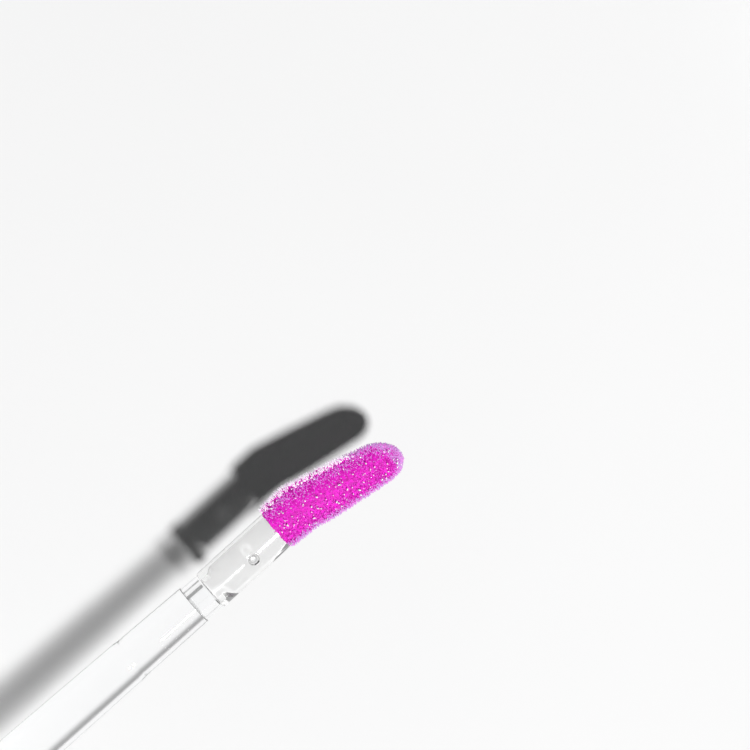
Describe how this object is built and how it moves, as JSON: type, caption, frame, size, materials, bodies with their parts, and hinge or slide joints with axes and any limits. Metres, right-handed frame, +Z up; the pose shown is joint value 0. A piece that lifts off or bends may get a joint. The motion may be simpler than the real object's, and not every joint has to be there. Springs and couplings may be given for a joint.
{
  "type": "lip gloss tube",
  "caption": "Open square lip gloss tube lying on its side: a capped wand with a clear stem and bent flocked tip, drawn straight out of a clear bottle with wiper and gloss.",
  "frame": {"origin": "on the surface the tube lies on, below the middle of its whole open length", "axes": "+X from the cap along the wand to the bottle's base, +Z up"},
  "size_m": [0.2266, 0.019, 0.019],
  "materials": {
    "bottle_clear": "clear, polished",
    "vial_clear": "clear, faintly blue",
    "collar_metal": "satin",
    "wiper_plastic": "milky, soft",
    "gloss": "clear, wet",
    "label_film": "plain film",
    "gasket_foam": "fine closed foam",
    "cap_metal": "brushed satin",
    "inner_cap_plastic": "moulded satin",
    "weight_steel": "ground",
    "end_plate_metal": "brushed, polished rim",
    "stem_clear": "clear, polished",
    "core_milky": "milky, semi-clear",
    "flock_pile": "short nylon pile, wet with gloss"
  },
  "bodies": {
    "bottle": {"outer_bottle": "bottle_clear", "inner_vial": "vial_clear", "shoulder_collar": "collar_metal", "wiper": "wiper_plastic", "gloss_fill": "gloss", "base_label": "label_film"},
    "gasket": {"liner_gasket": "gasket_foam"},
    "cap": {"outer_cap": "cap_metal", "inner_cap": "inner_cap_plastic", "cap_weight": "weight_steel", "cap_end_plate": "end_plate_metal", "stem": "stem_clear", "tip_core": "core_milky", "flocking": "flock_pile"}
  },
  "joints": [
    {"name": "wand_insert", "type": "slide", "parent": "bottle", "child": "gasket", "axis": [1, 0, 0], "range_m": [0, 0.1282], "deforming": ["wiper", "gloss_fill"]},
    {"name": "cap_twist", "type": "hinge", "parent": "gasket", "child": "cap", "pos_m": [-0.08035, 0, 0.0095], "axis": [1, 0, 0], "range_deg": [0, 90]}
  ]
}
